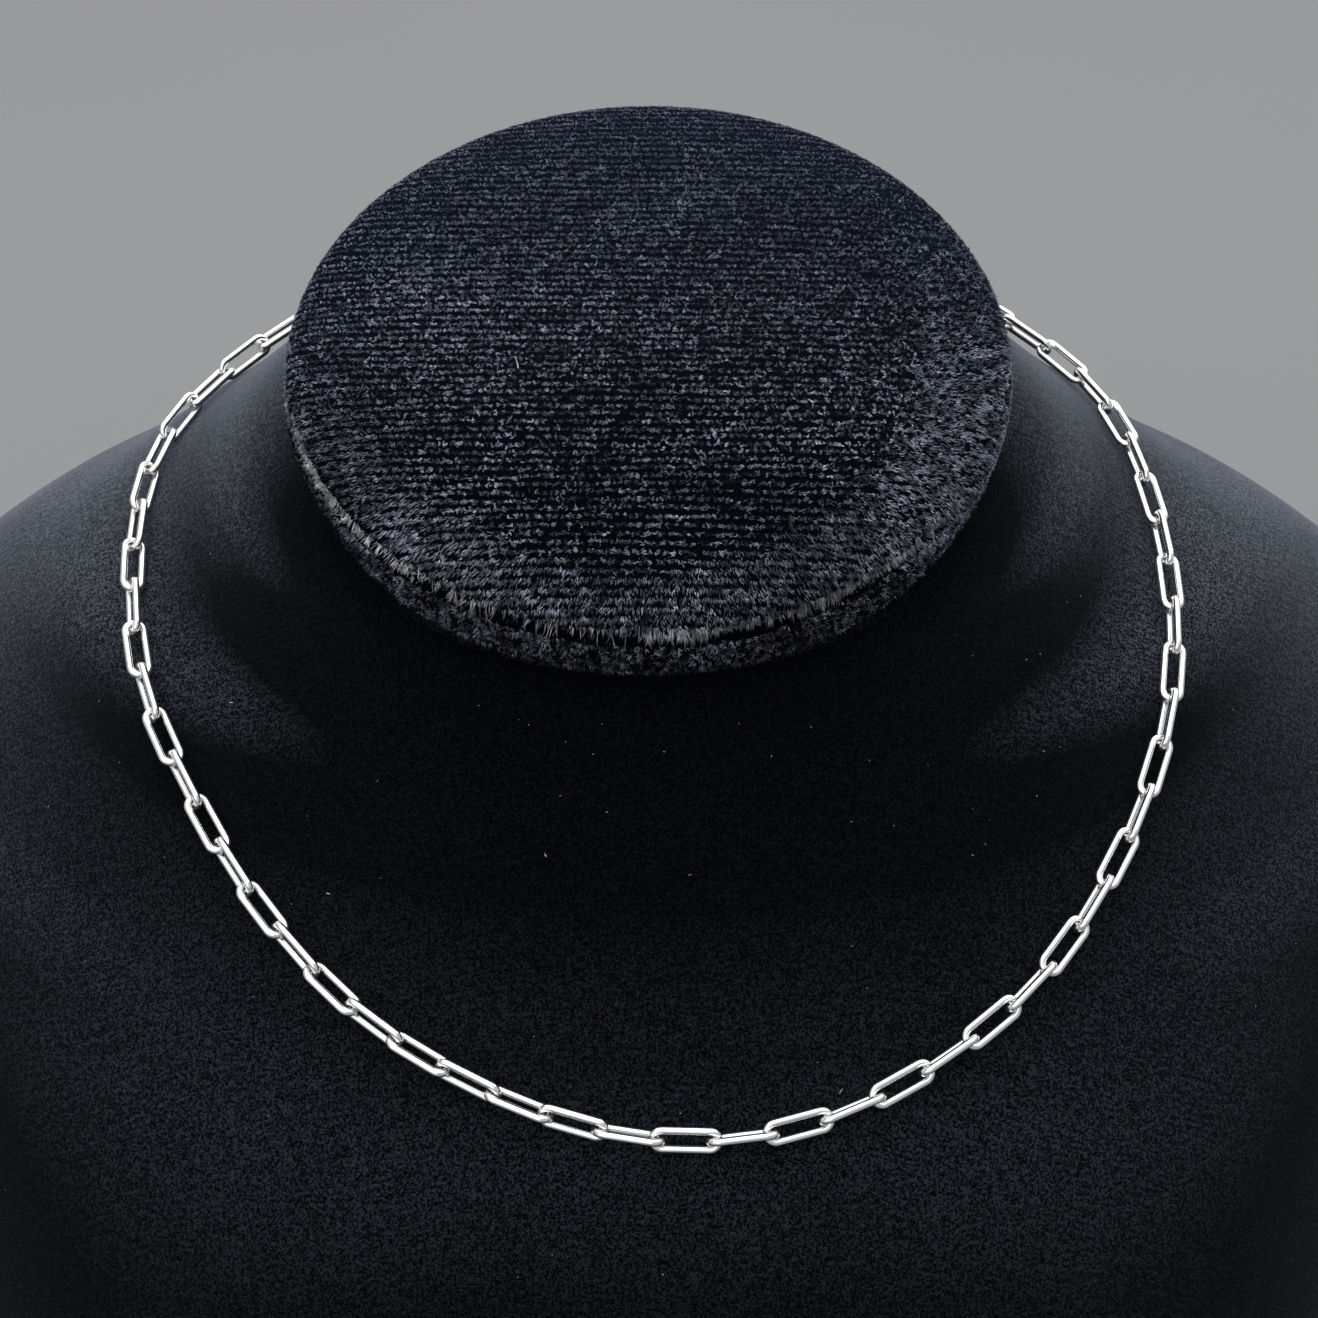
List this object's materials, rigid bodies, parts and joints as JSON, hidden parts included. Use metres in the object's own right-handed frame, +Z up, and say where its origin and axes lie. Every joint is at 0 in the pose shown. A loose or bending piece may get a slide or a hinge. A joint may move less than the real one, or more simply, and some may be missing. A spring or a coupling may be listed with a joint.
{
  "type": "paperclip chain necklace on a velvet neck bust",
  "caption": "Paperclip chain of long oval silver links, closed by a small clasp, round a padded ribbed-velvet neck bust with a tilted oval cap and a flat base.",
  "frame": {"origin": "middle of the bust's flat base, on the surface that it stands on", "axes": "+X to the viewer's right along the shoulders, +Y from the chest to the back, +Z up"},
  "size_m": [0.2604, 0.2067, 0.1562],
  "materials": {
    "velvet": "black ribbed velvet with a soft sheen",
    "silver": "polished silver"
  },
  "bodies": {
    "root": {"bust_body": "velvet", "neck_cap": "velvet", "chain": "silver", "clasp": "silver"}
  },
  "joints": []
}
